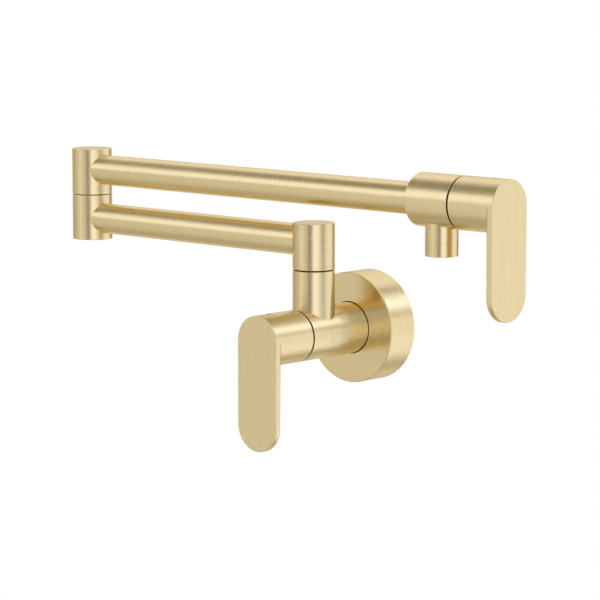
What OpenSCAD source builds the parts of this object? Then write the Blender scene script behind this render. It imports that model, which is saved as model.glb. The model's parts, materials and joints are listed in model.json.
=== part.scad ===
// Wall mounted pot filler with a double-jointed swing arm and two quarter-turn valves.
// Millimetres. The wall is the plane y = 0, the object stands out towards -Y and +Z is up.
// The origin is the centre of the water inlet on the wall. The arm is drawn folded, with both levers closed.

/* [Wall flange] */
// Outer diameter of the round flange
flange_d = 67.5; // [64:0.5:76]
// How far the flange's face stands off the wall
flange_t = 21.4; // [20:0.2:23]
// Thickness of the flange's face and skirt
flange_wall = 2.5; // [2:0.1:3]

/* [Valves] */
// Diameter of the valve bodies and of the lever hubs
body_d = 31.2; // [30.6:0.2:33]
// Distance from the wall to the axis of the post and of both arms
post_reach = 53.5; // [52:0.5:70]
// Distance from the axis of a valve's outlet to the seam under its lever
outlet_to_seam = 16.3; // [16:0.1:17.5]
// Length of the spout valve's body behind the axis of the spout
spout_body_back = 15.2; // [15:0.1:20]
// Width of the dark gap between a valve's body and its lever's hub
lever_gap = 1.2; // [0.8:0.1:1.4]

/* [Levers] */
// Length of a lever's hub, from its seam to the back of the blade
hub_l = 29.2; // [28:0.2:34]
// Thickness of the blade
blade_t = 3.8; // [3:0.1:5]
// Distance from the hub's axis down to the blade's tip
blade_drop = 65.6; // [50:0.2:75]
// Rounding of the blade's edges
blade_edge = 0.5; // [0.3:0.1:0.8]
// Distance from the back of the blade to the set screw
lever_screw_back = 6.5; // [5:0.1:8]

/* [Arms] */
// Outer diameter of the arm tubes
arm_d = 19; // [18:0.5:20]
// Wall thickness of the arm tubes
arm_wall = 1.5; // [1:0.1:2]
// Diameter of the post and of the elbow
joint_d = 25.4; // [25:0.2:27]
// From the post's axis to the elbow's axis
lower_arm_l = 193; // [140:1:260]
// From the elbow's axis to the spout's axis
upper_arm_l = 292.6; // [270:0.2:400]
// Height of the lower arm above the inlet
lower_arm_z = 55.6; // [55.2:0.1:56]
// Height of the upper arm above the inlet
upper_arm_z = 86.7; // [86.5:0.1:88]

/* [Post and elbow] */
// Width of the dark gap at the post's seam
post_gap = 0.8; // [0.4:0.1:1]
// Width of the dark gap at the elbow's seam
elbow_gap = 0.4; // [0.3:0.05:0.6]
// Height of the seam on the post
post_seam_z = 38.6; // [38.4:0.1:38.8]
// Height of the post's top
post_top_z = 66.7; // [66.4:0.1:69]
// Height of the elbow's underside
elbow_bottom_z = 42; // [40:0.1:43]
// Height of the seam on the elbow
elbow_seam_z = 70.9; // [70.8:0.1:71.1]
// Height of the elbow's top
elbow_top_z = 100; // [99.6:0.1:104]

/* [Spout] */
// Diameter of the outlet tube
outlet_d = 19.3; // [19:0.1:20]
// Height of the outlet's mouth
outlet_z = 55; // [50:0.5:58]

/* [Wall bracket] */
// Diameter of the bracket's plate
plate_d = 55; // [53:1:58]
// Circle on which the wall screws lie
screw_circle_d = 44; // [43:0.5:45]
// Diameter of the holes for the wall screws
screw_hole_d = 5.2; // [4.5:0.1:5.5]
// Diameter of the inlet's female pipe thread, at its crests
inlet_thread_d = 18.3; // [18:0.1:18.7]

/* [Hidden] */
$fn = 64;

satin_brass = [0.86, 0.76, 0.55];
raw_brass = [0.80, 0.66, 0.36];
steel = [0.74, 0.75, 0.77];
rubber = [0.12, 0.12, 0.12];
acetal = [0.90, 0.90, 0.87];
black_acetal = [0.14, 0.13, 0.12];
ceramic = [0.96, 0.95, 0.92];

// How far a cut runs past the faces it goes through, and a solid into the one it is fused with
cut = 1;
weld = 0.1;
// Radial running clearance of a swivel and of a spindle
run_gap = 0.06;
// Clearance between faces that slide on each other
face_gap = 0.02;
// Radial clearance of a screwed joint, and the gap before a set screw's tip
thread_gap = 0.04;
tip_gap = 0.02;

body_r = body_d / 2;
joint_r = joint_d / 2;
arm_r = arm_d / 2;
arm_bore_r = arm_r - arm_wall;
outlet_r = outlet_d / 2;
elbow_x = -lower_arm_l;
spout_x = elbow_x + upper_arm_l;
spout_body_x = spout_x - spout_body_back;
wall_seam = post_reach + outlet_to_seam;
spout_seam_x = spout_x + outlet_to_seam;
half_lever_gap = lever_gap / 2;

// Rounding of the edges at a seam, at the free end of a block and at the spout's mouth
seam_edge = 0.25;
block_edge = 0.4;
mouth_edge = 0.3;

// Cavity in a valve body. A valve's own axis runs out of the body towards the lever, from 0 at the seam
cavity_floor = -26;
cavity_r = 10.2;
seat_bore_r = 6.5;

// Rubber seal between the cavity's floor and the fixed disc
seal_t = 2;
seal_r = 8.4;
seal_lip_r = 7;
seal_bore_r = 5.4;

// Two ceramic discs with two ports each, the fixed one keyed to the barrel
disc_t = 3;
fixed_disc_z = -23.6;
fixed_disc_r = 7.2;
moving_disc_z = fixed_disc_z + disc_t + face_gap;
moving_disc_r = 7.1;
port_in_r = 2;
port_out_r = 6.2;
port_span = 76;
key_w = 2.2;
key_reach = 8.1;
key_t = 2.6;

// Spindle: a driver with two dogs and two open notches, a stem with two O-rings, and a spline
driver_z = moving_disc_z + disc_t;
driver_lift = 0.1;
driver_r = 7;
driver_web = 2;
notch_in_r = 2.6;
notch_span = 92;
dog_x = 5.6;
dog_size = [2, 2.4];
dog_l = 1.5;
dog_gap = 0.08;
stem_r = 4.5;
stem_bore_r = stem_r + run_gap;
stem_end = 26;
stem_groove_r = 3.5;
stem_groove_w = 1.3;
stem_ring_r = 0.52;
stem_ring_zs = [-7.6, -3.8];

// Spline between the spindle and the lever
spline_r = 4;
spline_teeth = 20;
spline_tooth_h = 0.45;
spline_tooth_w = 0.65;
spline_gap = 0.05;

// Housing: a barrel with two windows, a threaded collar with an O-ring, a hexagon and a neck
barrel_r = 8.6;
barrel_bore_r = 7.25;
barrel_top = -12.2;
window_z = [-18.6, -13.2];
window_span = 100;
collar_z = -9;
collar_groove_r = 8.9;
collar_groove_w = 1.8;
collar_ring_r = 0.62;
collar_ring_z = -7.3;
hex_flats = 17;
hex_top = 6;
neck_r = 6.6;
neck_top = 8;

// Stop: a crescent on the neck and a ring on the spline, whose tab meets the crescent's ends
crescent_in_r = 5.4;
crescent_span = 248;
crescent_clearance = 1;
stop_top = neck_top + 1.8;
stop_ring_z = neck_top + 0.2;
stop_ring_r = 5.2;
tab_r = 6.5;
tab_span = 20;

// Lever, and the glide ring in its hub's mouth that runs on the end of the valve's body
hub_cavity_r = 12.2;
hub_cavity_l = 12;
glide_seat_r = 13.2;
glide_seat_l = 3.6;
glide_in_r = 11.2;
blade_r = body_r;
lever_screw_z = hub_l - lever_screw_back;
lever_screw_r = 1.25;
lever_screw_end = 11;
lever_screw_key = 1.3;
key_depth = 1.6;

// Swivel. Its own axis runs up from 0 at the seam
nose_r = 8;
nose_l = 10.2;
nose_edge = 0.4;
spigot_bore_r = 5.2;
spigot_root_r = 9;
spigot_root_l = 9.2;
spigot_collar_r = 10.5;
spigot_collar_t = 2;
spigot_groove_r = 6.6;
spigot_groove_w = 1.6;
spigot_ring_r = 0.7;
spigot_ring_zs = [6.25, 8.75];
washer_r = 11.6;
washer_t = 1.4;
socket_r = nose_r + run_gap;
port_r = 5.5;
chamber_r = 7;
chamber_over_port = 1;
post_bore_r = 6;

// Screw behind each swivel, whose pin runs in a groove of the spigot
lock_z = 3.6;
lock_groove_w = 2.1;
lock_pin_r = 1;
lock_pin_x = 6.8;
lock_pin_hole_r = 1.1;
lock_screw_r = 2;
lock_seat_x = socket_r + 0.5;
lock_sunk = 0.5;
lock_key = 2;

// Inlet. Its own axis runs out from 0 on the wall
plate_t = 4;
plate_edge = 0.6;
inlet_nose_r = 12.5;
inlet_nose_l = 33;
inlet_nose_edge = 0.8;
inlet_thread_l = 13;
inlet_relief_r = 9.7;
inlet_relief_l = 3;
inlet_groove_r = 10.9;
inlet_groove_w = 2.2;
inlet_ring_r = 0.82;
inlet_ring_zs = [23, 28];

// Screw under the body, whose tip sits in a wide groove of the inlet's nose
body_lock_z = 11;
body_lock_r = 2.5;
body_lock_groove_r = 11.6;
body_lock_groove_w = 5.6;
body_lock_sunk = 0.3;
body_lock_key = 2.5;

// Flange: a cup with a thick collar round the body, held by an O-ring
flange_edge = 0.7;
flange_back_edge = 0.3;
flange_hole_r = body_r + 0.45;
flange_collar_t = 3.6;
flange_collar_z = 12;
flange_groove_depth = 1.15;
flange_groove_w = 1.9;
flange_ring_r = 0.77;
flange_ring_z = 15.6;

// Aerator in the spout's mouth. Its own axis runs up from 0 at the mouth
outlet_bore_r = 6.5;
tube_socket = 4;
aerator_r = 8.2;
aerator_gap = 0.05;
aerator_top = 11;
aerator_seal_t = 1.6;
aerator_seal_in_r = 6.2;
diffuser_z = 7.4;
diffuser_t = 2;
body_lip = 0.4;
mouth_r = 6;
cup_r = 7;
screen_z = 1.8;
screen_t = 0.7;
key_slot = [3, 1.8, 1];

// A solid of revolution about Z whose two outer edges are rounded
module turned(r, z0, z1, e0 = 0, e1 = 0) {
    rotate_extrude() {
        turned_outline(r, z0, z1, e0, e1);
    }
}

// Half the section of such a solid, from its axis out to r
module turned_outline(r, z0, z1, e0, e1) {
    translate([0, z0 + e0]) {
        square([r, z1 - z0 - e0 - e1]);
    }
    if (e0 > 0) {
        translate([0, z0]) {
            square([r - e0, e0 + weld]);
        }
        translate([r - e0, z0 + e0]) {
            circle(e0);
        }
    }
    if (e1 > 0) {
        translate([0, z1 - e1 - weld]) {
            square([r - e1, e1 + weld]);
        }
        translate([r - e1, z1 - e1]) {
            circle(e1);
        }
    }
}

// A bore or a plain shaft about Z
module bore(r, z0, z1) {
    translate([0, 0, z0]) {
        cylinder(h = z1 - z0, r = r);
    }
}

// A plain ring about Z
module ring(r_out, r_in, z0, z1) {
    difference() {
        bore(r_out, z0, z1);
        bore(r_in, z0 - cut, z1 + cut);
    }
}

// What is cut from a shaft of radius r_out to leave a groove of width w round z
module groove(r_bottom, r_out, w, z) {
    ring(r_out + cut, r_bottom, z - w / 2, z + w / 2);
}

// An O-ring that lies on a shaft or on the bottom of a groove, of radius r_in
module o_ring(r_in, r_section, z) {
    color(rubber) {
        rotate_extrude() {
            translate([r_in + r_section, z]) {
                circle(r_section, $fn = 32);
            }
        }
    }
}

// A sector of a ring about Z, centred on one direction
module sector(r_in, r_out, z0, z1, middle, span) {
    rotate_extrude(angle = span, start = middle - span / 2) {
        translate([r_in, z0]) {
            square([r_out - r_in, z1 - z0]);
        }
    }
}

// A cylinder along X, from x0 to x1
module bore_x(r, x0, x1) {
    rotate([0, 90, 0]) {
        bore(r, x0, x1);
    }
}

// Puts the inlet's own axis on the wall: Z out of the wall, X up
module at_inlet() {
    rotate([90, 0, 0]) {
        rotate([0, 0, 90]) {
            children();
        }
    }
}

// Puts a valve's own axis into the wall valve: Z out of the wall, X up
module at_wall_valve() {
    translate([0, -wall_seam, 0]) {
        at_inlet() {
            children();
        }
    }
}

// Puts a valve's own axis into the spout valve: Z along the arm, X up
module at_spout_valve() {
    translate([spout_seam_x, -post_reach, upper_arm_z]) {
        rotate([0, 90, 0]) {
            rotate([0, 0, 180]) {
                children();
            }
        }
    }
}

// Puts an upright axis at the post, at a height above the inlet
module at_post(z = 0) {
    translate([0, -post_reach, z]) {
        children();
    }
}

// The same at the elbow
module at_elbow(z = 0) {
    translate([elbow_x, -post_reach, z]) {
        children();
    }
}

// The same at the spout
module at_spout(z = 0) {
    translate([spout_x, -post_reach, z]) {
        children();
    }
}

// The bore that takes the cartridge, in each valve body
module cartridge_cavity() {
    bore(cavity_r, cavity_floor, 0);
}

// A stepped rubber ring that presses on the fixed disc
module seat_seal() {
    color(rubber) {
        difference() {
            union() {
                bore(seal_r, cavity_floor, cavity_floor + seal_t);
                bore(seal_lip_r, cavity_floor, fixed_disc_z);
            }
            bore(seal_bore_r, cavity_floor - cut, fixed_disc_z + cut);
        }
    }
}

// Two opposite ports through a disc, with sealing lands between them
module ports(disc_z, middle) {
    for (side = [0, 180]) {
        sector(port_in_r, port_out_r, disc_z - cut, disc_z + disc_t + cut, middle + side, port_span);
    }
}

// The fixed disc is keyed to the barrel by two lugs
module fixed_disc() {
    color(ceramic) {
        difference() {
            union() {
                bore(fixed_disc_r, fixed_disc_z, fixed_disc_z + disc_t);
                translate([-key_w / 2, -key_reach, fixed_disc_z]) {
                    cube([key_w, 2 * key_reach, key_t]);
                }
            }
            ports(fixed_disc_z, 0);
        }
    }
}

// The moving disc closes the ports at rest and opens them after a quarter turn
module moving_disc() {
    color(ceramic) {
        difference() {
            bore(moving_disc_r, moving_disc_z, moving_disc_z + disc_t);
            ports(moving_disc_z, 90);
            driver_dogs(dog_gap);
        }
    }
}

// Two pegs under the spindle's driver that turn the moving disc
module driver_dogs(gap) {
    for (side = [-1, 1]) {
        translate([side * dog_x, 0, driver_z - dog_l - gap]) {
            linear_extrude(dog_l + weld + gap) {
                square([dog_size.x + 2 * gap, dog_size.y + 2 * gap], center = true);
            }
        }
    }
}

// A splined shaft, as a round core with teeth
module spline(r, z0, z1) {
    translate([0, 0, z0]) {
        linear_extrude(z1 - z0) {
            circle(r - spline_tooth_h);
            for (i = [0 : spline_teeth - 1]) {
                rotate(i * 360 / spline_teeth) {
                    translate([0, -spline_tooth_w / 2]) {
                        square([r, spline_tooth_w]);
                    }
                }
            }
        }
    }
}

// The spindle: water passes its driver through two notches that are open to the windows
module spindle() {
    color(raw_brass) {
        difference() {
            union() {
                bore(driver_r, driver_z + driver_lift, barrel_top - 2 * driver_lift);
                bore(stem_r, barrel_top - 3 * driver_lift, stop_ring_z);
                driver_dogs(0);
                spline(spline_r, stop_ring_z - weld, stem_end);
            }
            for (side = [90, 270]) {
                sector(notch_in_r, driver_r + cut, driver_z - cut, barrel_top - driver_web, side, notch_span);
            }
            for (z = stem_ring_zs) {
                groove(stem_groove_r, stem_r, stem_groove_w, z);
            }
        }
    }
}

module spindle_o_rings() {
    for (z = stem_ring_zs) {
        o_ring(stem_groove_r, stem_ring_r, z);
    }
}

// The housing carries the whole cartridge. Its stop is on the side that the lever turns to
module cartridge_housing(turn) {
    color(raw_brass) {
        difference() {
            union() {
                bore(barrel_r, cavity_floor + seal_t, collar_z + weld);
                bore(cavity_r - thread_gap, collar_z, -half_lever_gap);
                translate([0, 0, -half_lever_gap - weld]) {
                    cylinder(h = hex_top + half_lever_gap + weld, d = hex_flats / cos(30), $fn = 6);
                }
                bore(neck_r, hex_top - cut, neck_top);
                stop_crescent(turn);
            }
            bore(barrel_bore_r, cavity_floor, barrel_top);
            bore(stem_bore_r, barrel_top - cut, neck_top + cut);
            key_slots();
            for (side = [0, 180]) {
                sector(barrel_bore_r - cut, barrel_r + cut, window_z[0], window_z[1], side, window_span);
            }
            groove(collar_groove_r, cavity_r, collar_groove_w, collar_ring_z);
        }
    }
}

// Slots in the barrel's open end for the fixed disc's lugs
module key_slots() {
    slot_w = key_w + 2 * thread_gap;
    translate([-slot_w / 2, -barrel_r - cut, cavity_floor]) {
        cube([slot_w, 2 * (barrel_r + cut), fixed_disc_z + key_t - cavity_floor + thread_gap]);
    }
}

// The part of the neck's rim that the stop ring's tab runs against
module stop_crescent(turn) {
    half_tab = tab_span / 2;
    start = (turn > 0 ? 270 : 180) + half_tab + crescent_clearance;
    middle = start + crescent_span / 2;
    sector(crescent_in_r, neck_r, neck_top - weld, stop_top, middle, crescent_span);
}

module housing_o_ring() {
    o_ring(collar_groove_r, collar_ring_r, collar_ring_z);
}

// The ring on the spline that limits the lever to a quarter turn
module stop_ring() {
    color(raw_brass) {
        difference() {
            union() {
                bore(stop_ring_r, stop_ring_z, stop_top);
                sector(stop_ring_r - cut, tab_r, stop_ring_z, stop_top, 180, tab_span);
            }
            spline(spline_r + spline_gap, stop_ring_z - cut, stop_top + cut);
        }
    }
}

// Half the section of the blade: its middle plane is at 0 and its edges are rounded
module blade_half_section() {
    turned_outline(blade_r, 0, blade_t, blade_edge, blade_edge);
}

// The blade is one rounded section, run straight and turned round both ends
module blade() {
    straight = blade_drop - blade_r;
    translate([0, 0, hub_l]) {
        rotate_extrude(angle = 180, start = -90) {
            blade_half_section();
        }
        translate([-straight, 0, 0]) {
            rotate_extrude(angle = 180, start = 90) {
                blade_half_section();
            }
        }
        rotate([90, 0, -90]) {
            linear_extrude(straight) {
                blade_half_section();
                mirror([1, 0]) {
                    blade_half_section();
                }
            }
        }
    }
}

// Hub and blade are one casting, open at the back round the stop and splined to the spindle
module lever() {
    color(satin_brass) {
        difference() {
            union() {
                turned(body_r, half_lever_gap, hub_l + blade_edge + weld, seam_edge, 0);
                blade();
            }
            bore(glide_seat_r, -cut, glide_seat_l);
            bore(hub_cavity_r, -cut, hub_cavity_l);
            spline(spline_r + spline_gap, hub_cavity_l - cut, stem_end + cut);
            translate([0, 0, lever_screw_z]) {
                bore_x(lever_screw_r, 0, body_r + cut);
            }
        }
    }
}

// The ring that keeps hub and body apart and closes the gap between them
module glide_ring() {
    color(black_acetal) {
        ring(glide_seat_r - thread_gap, glide_in_r, -half_lever_gap + face_gap, glide_seat_l - face_gap);
    }
}

// A set screw along X with a hexagon socket, from its tip to its outer end
module set_screw(r, tip, end, key) {
    color(steel) {
        difference() {
            bore_x(r - thread_gap, tip, end);
            rotate([0, 90, 0]) {
                translate([0, 0, end - key_depth]) {
                    cylinder(h = key_depth + cut, d = key / cos(30), $fn = 6);
                }
            }
        }
    }
}

module lever_screw() {
    translate([0, 0, lever_screw_z]) {
        set_screw(lever_screw_r, spline_r + tip_gap, lever_screw_end, lever_screw_key);
    }
}

// The bracket: a screwed plate and a nose with the inlet's thread, which the body slides over
module wall_bracket() {
    relief_end = inlet_thread_l + inlet_relief_l;
    color(raw_brass) {
        at_inlet() {
            difference() {
                union() {
                    turned(plate_d / 2, 0, plate_t, 0, plate_edge);
                    turned(inlet_nose_r, plate_t - cut, inlet_nose_l, 0, inlet_nose_edge);
                }
                bore(inlet_thread_d / 2, -cut, inlet_thread_l);
                bore(inlet_relief_r, inlet_thread_l, relief_end);
                bore(seat_bore_r, relief_end - cut, inlet_nose_l + cut);
                for (z = inlet_ring_zs) {
                    groove(inlet_groove_r, inlet_nose_r, inlet_groove_w, z);
                }
                groove(body_lock_groove_r, inlet_nose_r, body_lock_groove_w, body_lock_z);
                for (a = [45 : 90 : 315]) {
                    rotate(a) {
                        translate([screw_circle_d / 2, 0, 0]) {
                            bore(screw_hole_d / 2, -cut, plate_t + cut);
                        }
                    }
                }
            }
        }
    }
}

module inlet_o_rings() {
    at_inlet() {
        for (z = inlet_ring_zs) {
            o_ring(inlet_groove_r, inlet_ring_r, z);
        }
    }
}

// The screw under the body that holds it on the bracket, covered by the flange
module body_lock_screw() {
    tip = body_lock_groove_r + tip_gap;
    at_inlet() {
        translate([0, 0, body_lock_z]) {
            rotate([0, 0, 180]) {
                set_screw(body_lock_r, tip, body_r - body_lock_sunk, body_lock_key);
            }
        }
    }
}

// The flange: a hollow cup over the bracket, with a thick collar round the body
module wall_flange() {
    groove_r = flange_hole_r + flange_groove_depth;
    half_groove = flange_groove_w / 2;
    color(satin_brass) {
        at_inlet() {
            difference() {
                turned(flange_d / 2, 0, flange_t, flange_back_edge, flange_edge);
                difference() {
                    bore(flange_d / 2 - flange_wall, -cut, flange_t - flange_wall);
                    bore(flange_hole_r + flange_collar_t, flange_collar_z, flange_t);
                }
                bore(flange_hole_r, -cut, flange_t + cut);
                bore(groove_r, flange_ring_z - half_groove, flange_ring_z + half_groove);
            }
        }
    }
}

module flange_o_ring() {
    at_inlet() {
        o_ring(body_r + face_gap / 2, flange_ring_r, flange_ring_z);
    }
}

// The wall valve's body: a bar bored from both ends, with a port up into the post
module wall_valve_body() {
    color(satin_brass) {
        difference() {
            at_inlet() {
                turned(body_r, plate_t, wall_seam - half_lever_gap, 0, seam_edge);
            }
            at_inlet() {
                bore(inlet_nose_r + run_gap, plate_t - cut, inlet_nose_l + 5 * run_gap);
                bore(seat_bore_r, inlet_nose_l, wall_seam);
                translate([0, 0, body_lock_z]) {
                    rotate([0, 0, 180]) {
                        bore_x(body_lock_r, 0, body_r + cut);
                    }
                }
            }
            at_wall_valve() {
                cartridge_cavity();
            }
            at_post() {
                bore(post_bore_r, 0, body_r + cut);
            }
        }
    }
}

// The post stands on the body, cut to its curve
module wall_valve_post() {
    color(satin_brass) {
        difference() {
            at_post() {
                turned(joint_r, 0, post_seam_z - post_gap / 2, 0, seam_edge);
            }
            at_inlet() {
                bore(body_r, 0, wall_seam);
            }
            at_post() {
                bore(post_bore_r, 0, post_seam_z);
            }
            at_post(post_seam_z) {
                spigot_socket(post_gap);
            }
        }
    }
}

// The threaded hole and counterbore that take a spigot's root, below a seam of width gap
module spigot_socket(gap) {
    bore(spigot_root_r + thread_gap, -spigot_root_l - cut / 4, cut);
    bore(spigot_collar_r + thread_gap, -gap / 2 - spigot_collar_t, cut);
}

// The turned spigot that a block swivels on. Its collar is flush with the seam's lower side
module spigot(gap) {
    collar_top = -gap / 2;
    color(raw_brass) {
        difference() {
            union() {
                bore(spigot_root_r, -spigot_root_l, collar_top - weld);
                bore(spigot_collar_r, collar_top - spigot_collar_t, collar_top);
                turned(nose_r, collar_top - weld, nose_l, 0, nose_edge);
            }
            bore(spigot_bore_r, -spigot_root_l - cut, nose_l + cut);
            groove(spigot_groove_r, nose_r, lock_groove_w, lock_z);
            for (z = spigot_ring_zs) {
                groove(spigot_groove_r, nose_r, spigot_groove_w, z);
            }
        }
    }
}

module spigot_o_rings() {
    for (z = spigot_ring_zs) {
        o_ring(spigot_groove_r, spigot_ring_r, z);
    }
}

// The washer that carries a block's weight on the spigot's collar
module thrust_washer(gap) {
    color(black_acetal) {
        ring(washer_r, socket_r, -gap / 2 + face_gap, -gap / 2 + washer_t);
    }
}

// What a block needs to turn on a spigot: washer seat, socket, water chamber and lock screw hole
module swivel_socket(gap, chamber_top) {
    bore(washer_r + 2 * thread_gap, -cut, washer_t - gap / 2);
    bore(socket_r, 0, chamber_top);
    translate([0, 0, lock_z]) {
        rotate([0, 0, 90]) {
            bore_x(lock_pin_hole_r, 0, joint_r + cut);
            bore_x(lock_screw_r, lock_seat_x, joint_r + cut);
        }
    }
}

// The screw at the wall side of a block, whose pin runs in the spigot's groove
module lock_screw() {
    translate([0, 0, lock_z]) {
        rotate([0, 0, 90]) {
            set_screw(lock_screw_r, lock_seat_x + tip_gap, joint_r - lock_sunk, lock_key);
            color(steel) {
                bore_x(lock_pin_r, lock_pin_x, lock_seat_x + weld);
            }
        }
    }
}

// The block on the post, which the lower arm goes into
module post_block() {
    color(satin_brass) {
        difference() {
            at_post() {
                turned(joint_r, post_seam_z + post_gap / 2, post_top_z, seam_edge, block_edge);
            }
            at_post(post_seam_z) {
                swivel_socket(post_gap, lower_arm_z - post_seam_z + port_r + chamber_over_port);
            }
            at_post(lower_arm_z) {
                bore_x(port_r, -joint_r - cut, 0);
            }
        }
    }
}

// The lower arm, cut at both ends to the curve of the blocks
module lower_arm_tube() {
    color(satin_brass) {
        difference() {
            at_post(lower_arm_z) {
                bore_x(arm_r, elbow_x, 0);
            }
            at_post(lower_arm_z) {
                bore_x(arm_bore_r, elbow_x - cut, cut);
            }
            at_post() {
                bore(joint_r, 0, elbow_top_z);
            }
            at_elbow() {
                bore(joint_r, 0, elbow_top_z);
            }
        }
    }
}

// The lower half of the elbow, with the water chamber under its spigot
module elbow_lower_block() {
    color(satin_brass) {
        difference() {
            at_elbow() {
                turned(joint_r, elbow_bottom_z, elbow_seam_z - elbow_gap / 2, block_edge, seam_edge);
            }
            at_elbow(elbow_seam_z) {
                spigot_socket(elbow_gap);
            }
            at_elbow() {
                bore(chamber_r, lower_arm_z - port_r - chamber_over_port, elbow_seam_z - spigot_root_l);
            }
            at_elbow(lower_arm_z) {
                bore_x(port_r, 0, joint_r + cut);
            }
        }
    }
}

// The upper half of the elbow, which the upper arm goes into
module elbow_upper_block() {
    color(satin_brass) {
        difference() {
            at_elbow() {
                turned(joint_r, elbow_seam_z + elbow_gap / 2, elbow_top_z, seam_edge, block_edge);
            }
            at_elbow(elbow_seam_z) {
                swivel_socket(elbow_gap, upper_arm_z - elbow_seam_z + port_r + chamber_over_port);
            }
            at_elbow(upper_arm_z) {
                bore_x(port_r, 0, joint_r + cut);
            }
        }
    }
}

// The upper arm, from the elbow into a socket in the spout valve's body
module upper_arm_tube() {
    color(satin_brass) {
        difference() {
            at_post(upper_arm_z) {
                bore_x(arm_r, elbow_x, spout_body_x + tube_socket);
            }
            at_post(upper_arm_z) {
                bore_x(arm_bore_r, elbow_x - cut, spout_x);
            }
            at_elbow() {
                bore(joint_r, 0, elbow_top_z);
            }
        }
    }
}

// The spout valve's body: a bar bored from both ends, with a port down into the outlet
module spout_valve_body() {
    color(satin_brass) {
        difference() {
            at_spout_valve() {
                turned(body_r, spout_body_x - spout_seam_x, -half_lever_gap, block_edge, seam_edge);
            }
            at_spout_valve() {
                cartridge_cavity();
            }
            at_post(upper_arm_z) {
                bore_x(arm_r + thread_gap / 2, spout_body_x - cut, spout_body_x + tube_socket);
                bore_x(seat_bore_r, spout_body_x, spout_x);
            }
            at_spout(upper_arm_z) {
                bore(outlet_bore_r, -body_r - cut, 0);
            }
        }
    }
}

// The outlet hangs on the body, cut to its curve, with a wider mouth for the aerator
module spout_outlet() {
    color(satin_brass) {
        difference() {
            at_spout() {
                turned(outlet_r, outlet_z, upper_arm_z, mouth_edge, 0);
            }
            at_spout(upper_arm_z) {
                bore_x(body_r, -body_r, body_r);
            }
            at_spout(outlet_z) {
                bore(outlet_bore_r, -cut, upper_arm_z);
                bore(aerator_r + aerator_gap, -cut, aerator_top);
            }
        }
    }
}

module aerator_seal() {
    color(rubber) {
        at_spout(outlet_z) {
            ring(aerator_r - 4 * aerator_gap, aerator_seal_in_r, aerator_top - aerator_seal_t, aerator_top);
        }
    }
}

// Holes on rings about the axis, with one in the middle
module rings_of_holes(rings, step, r) {
    small_hole(r);
    for (i = [1 : rings]) {
        for (k = [0 : 6 * i - 1]) {
            rotate(k * 60 / i) {
                translate([i * step, 0, 0]) {
                    small_hole(r);
                }
            }
        }
    }
}

module small_hole(r) {
    cylinder(h = 10, r = r, center = true, $fn = 24);
}

// The plate that splits the flow above the screen
module aerator_diffuser() {
    color(acetal) {
        at_spout(outlet_z + diffuser_z) {
            difference() {
                bore(aerator_r, 0, diffuser_t);
                rings_of_holes(2, 2, 0.6);
            }
        }
    }
}

// The cup that screws into the mouth, with four slots for its key
module aerator_body() {
    color(acetal) {
        at_spout(outlet_z) {
            difference() {
                turned(aerator_r, body_lip, diffuser_z, mouth_edge, 0);
                bore(mouth_r, -cut, diffuser_z + cut);
                bore(cup_r, screen_z, diffuser_z + cut);
                for (a = [0 : 90 : 270]) {
                    rotate(a) {
                        translate([cup_r, -key_slot.y / 2, -cut]) {
                            cube([key_slot.x, key_slot.y, cut + body_lip + key_slot.z]);
                        }
                    }
                }
            }
        }
    }
}

module aerator_screen() {
    color(steel) {
        at_spout(outlet_z + screen_z) {
            difference() {
                bore(cup_r - aerator_gap, 0, screen_t);
                rings_of_holes(4, 1.45, 0.5);
            }
        }
    }
}

wall_bracket();
inlet_o_rings();
body_lock_screw();
wall_flange();
flange_o_ring();
wall_valve_body();
wall_valve_post();
at_post(post_seam_z) spigot(post_gap);  // post_spigot
at_post(post_seam_z) spigot_o_rings();  // post_o_rings
at_wall_valve() seat_seal();  // wall_seat_seal
at_wall_valve() fixed_disc();  // wall_fixed_disc
at_wall_valve() cartridge_housing(1);  // wall_cartridge_housing
at_wall_valve() housing_o_ring();  // wall_housing_o_ring
at_wall_valve() moving_disc();  // wall_moving_disc
at_wall_valve() spindle();  // wall_spindle
at_wall_valve() spindle_o_rings();  // wall_spindle_o_rings
at_wall_valve() stop_ring();  // wall_stop_ring
at_wall_valve() lever();  // wall_lever
at_wall_valve() glide_ring();  // wall_lever_glide
at_wall_valve() lever_screw();  // wall_lever_screw
at_post(post_seam_z) thrust_washer(post_gap);  // post_thrust_washer
post_block();
at_post(post_seam_z) lock_screw();  // post_lock_screw
lower_arm_tube();
elbow_lower_block();
at_elbow(elbow_seam_z) spigot(elbow_gap);  // elbow_spigot
at_elbow(elbow_seam_z) spigot_o_rings();  // elbow_o_rings
at_elbow(elbow_seam_z) thrust_washer(elbow_gap);  // elbow_thrust_washer
elbow_upper_block();
at_elbow(elbow_seam_z) lock_screw();  // elbow_lock_screw
upper_arm_tube();
spout_valve_body();
at_spout_valve() seat_seal();  // spout_seat_seal
at_spout_valve() fixed_disc();  // spout_fixed_disc
at_spout_valve() cartridge_housing(-1);  // spout_cartridge_housing
at_spout_valve() housing_o_ring();  // spout_housing_o_ring
spout_outlet();
aerator_seal();
aerator_diffuser();
aerator_body();
aerator_screen();
at_spout_valve() moving_disc();  // spout_moving_disc
at_spout_valve() spindle();  // spout_spindle
at_spout_valve() spindle_o_rings();  // spout_spindle_o_rings
at_spout_valve() stop_ring();  // spout_stop_ring
at_spout_valve() lever();  // spout_lever
at_spout_valve() glide_ring();  // spout_lever_glide
at_spout_valve() lever_screw();  // spout_lever_screw
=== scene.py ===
# %% [markdown]
# # A wall mounted pot filler in satin brass
# A pot filler is a cold tap on the wall over a hob. Its arm folds at two upright swivels, and it has a
# valve at the wall and another at the spout, each with a flat lever. This lesson dresses the packed
# model: the outer metal is modelled afresh with round, smooth surfaces, and the inner parts keep their
# own meshes and get a finish each.

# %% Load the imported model
import json
import math

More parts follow.
